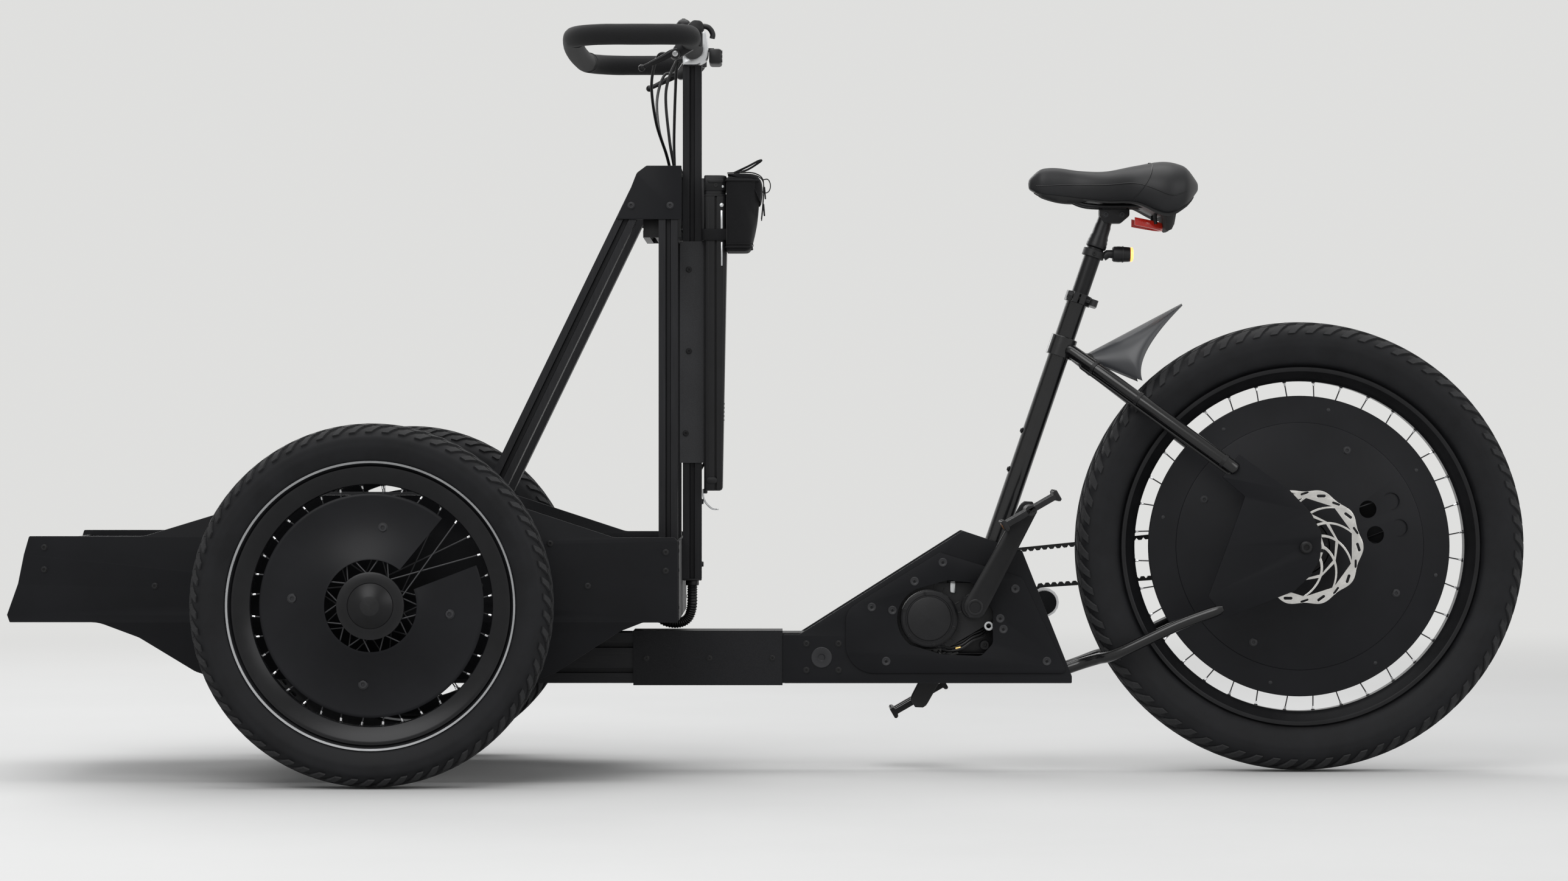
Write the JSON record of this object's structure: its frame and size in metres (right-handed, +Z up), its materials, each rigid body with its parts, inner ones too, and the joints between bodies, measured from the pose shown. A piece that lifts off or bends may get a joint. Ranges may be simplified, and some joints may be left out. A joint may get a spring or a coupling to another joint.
{
  "type": "electric cargo bike",
  "caption": "Front-loading electric cargo trike: plate-sided cargo bay between disc-covered front wheels, handlebar tower, mid motor with belt drive, fat rear wheel.",
  "frame": {"origin": "on the ground, at the middle of the vehicle's length and width", "axes": "+X forward, towards the cargo bay; +Y to the rider's left; +Z up"},
  "size_m": [2.375, 0.81, 1.186],
  "materials": {
    "extrusion": "satin black anodised",
    "plate": "matte black powder coat",
    "deck": "matte black board",
    "motor_case": "satin black casting",
    "gloss_frame": "gloss black paint",
    "steel_frame": "matte black powder coat",
    "steel": "machined",
    "alloy_black": "satin black",
    "alloy_bright": "satin silver",
    "rim": "satin black",
    "tyre": "matte",
    "cover": "matte",
    "plastic": "satin",
    "grey_plate": "matte dark grey",
    "flap": "smoky grey sheet",
    "foam": "matte foam",
    "vinyl": "matte vinyl",
    "cloth": "woven",
    "belt": "matte"
  },
  "bodies": {
    "rear_frame": {"main_beam": "extrusion", "beam_sleeve": "plate", "case_plate_left": "plate", "case_plate_right": "plate", "motor": "motor_case", "motor_cover": "plastic", "seat_tube": "gloss_frame", "seat_stays": "gloss_frame", "rear_fork": "steel_frame", "rear_axle": "steel", "seat_collar": "alloy_black", "rear_caliper": "alloy_black", "mudguard": "flap", "drive_belt": "belt"},
    "clamp_lever": {"clamp_lever": "alloy_black"},
    "rear_wheel": {"rear_tyre": "tyre", "rear_rim": "rim", "rear_cover_left": "cover", "rear_cover_right": "cover", "brake_rotor": "steel"},
    "rear_sprocket": {"rear_sprocket": "steel"},
    "idler": {"idler_pulley": "steel"},
    "crank": {"crank_left": "alloy_black", "crank_right": "alloy_black", "front_sprocket": "alloy_black"},
    "pedal_left": {"pedal_left": "plastic"},
    "pedal_right": {"pedal_right": "plastic"},
    "saddle_post": {"seatpost": "alloy_black", "saddle": "vinyl", "tail_light": "plastic"},
    "front_module": {"side_plate_left": "plate", "side_plate_right": "plate", "cargo_deck": "deck", "front_cross_plate": "plate", "rear_cross_plate": "plate", "front_axle": "steel_frame", "upright_left": "extrusion", "upright_right": "extrusion", "brace_left": "extrusion", "brace_right": "extrusion", "tower_cap": "plate", "tower_crossbar": "extrusion", "handlebar_post": "extrusion", "battery_bracket": "grey_plate", "battery": "plastic", "pouch": "cloth", "handlebar": "alloy_bright", "bar_foam": "foam", "stem_clamp": "alloy_bright", "display": "plastic", "bell": "plastic", "control_cables": "plastic"},
    "brake_lever_left": {"brake_lever_left": "alloy_black"},
    "brake_lever_right": {"brake_lever_right": "alloy_black"},
    "front_wheel_left": {"front_tyre_left": "tyre", "front_rim_left": "rim", "front_cover_left": "cover"},
    "front_wheel_right": {"front_tyre_right": "tyre", "front_rim_right": "rim", "front_cover_right": "cover"}
  },
  "joints": [
    {"name": "steering", "type": "hinge", "parent": "rear_frame", "child": "front_module", "pos_m": [0.6175, 0, 0.182], "axis": [0, 0, 1], "range_deg": [-30, 30]},
    {"name": "front_wheel_left", "type": "hinge", "parent": "front_module", "child": "front_wheel_left", "pos_m": [0.6175, 0.365, 0.277], "axis": [0, 1, 0], "continuous": true},
    {"name": "front_wheel_right", "type": "hinge", "parent": "front_module", "child": "front_wheel_right", "pos_m": [0.6175, -0.365, 0.277], "axis": [0, 1, 0], "continuous": true},
    {"name": "rear_wheel", "type": "hinge", "parent": "rear_frame", "child": "rear_wheel", "pos_m": [-0.8285, 0, 0.359], "axis": [0, 1, 0], "continuous": true},
    {"name": "crank", "type": "hinge", "parent": "rear_frame", "child": "crank", "pos_m": [-0.3085, 0, 0.264], "axis": [0, 1, 0], "continuous": true, "deforming": ["drive_belt"]},
    {"name": "rear_sprocket", "type": "hinge", "parent": "rear_frame", "child": "rear_sprocket", "pos_m": [-0.8285, -0.059, 0.359], "axis": [0, 1, 0], "continuous": true, "deforming": ["drive_belt"]},
    {"name": "idler", "type": "hinge", "parent": "rear_frame", "child": "idler", "pos_m": [-0.4255, -0.059, 0.26713], "axis": [0, 1, 0], "continuous": true, "deforming": ["drive_belt"]},
    {"name": "pedal_left", "type": "hinge", "parent": "crank", "child": "pedal_left", "pos_m": [-0.39173, 0.13, 0.41794], "axis": [0, 1, 0], "continuous": true},
    {"name": "pedal_right", "type": "hinge", "parent": "crank", "child": "pedal_right", "pos_m": [-0.22526, -0.13, 0.11006], "axis": [0, 1, 0], "continuous": true},
    {"name": "saddle_height", "type": "slide", "parent": "rear_frame", "child": "saddle_post", "axis": [-0.3239, 0, 0.9461], "range_m": [-0.055, 0.05]},
    {"name": "clamp_lever", "type": "hinge", "parent": "rear_frame", "child": "clamp_lever", "pos_m": [-0.49947, 0.0271, 0.74613], "axis": [0.3239, 0, -0.9461], "range_deg": [0, 120]},
    {"name": "brake_lever_left", "type": "hinge", "parent": "front_module", "child": "brake_lever_left", "pos_m": [0.1625, 0.1938, 1.128], "axis": [0, -1, 0], "range_deg": [0, 18], "stiffness_Nm_per_rad": 0.5, "springref_deg": -11.46},
    {"name": "brake_lever_right", "type": "hinge", "parent": "front_module", "child": "brake_lever_right", "pos_m": [0.1625, -0.1938, 1.128], "axis": [0, -1, 0], "range_deg": [0, 18], "stiffness_Nm_per_rad": 0.5, "springref_deg": -11.46}
  ],
  "couplings": [
    {"joint": "rear_sprocket", "follows": "crank", "ratio": 2.0909},
    {"joint": "idler", "follows": "crank", "ratio": -3.0738}
  ]
}
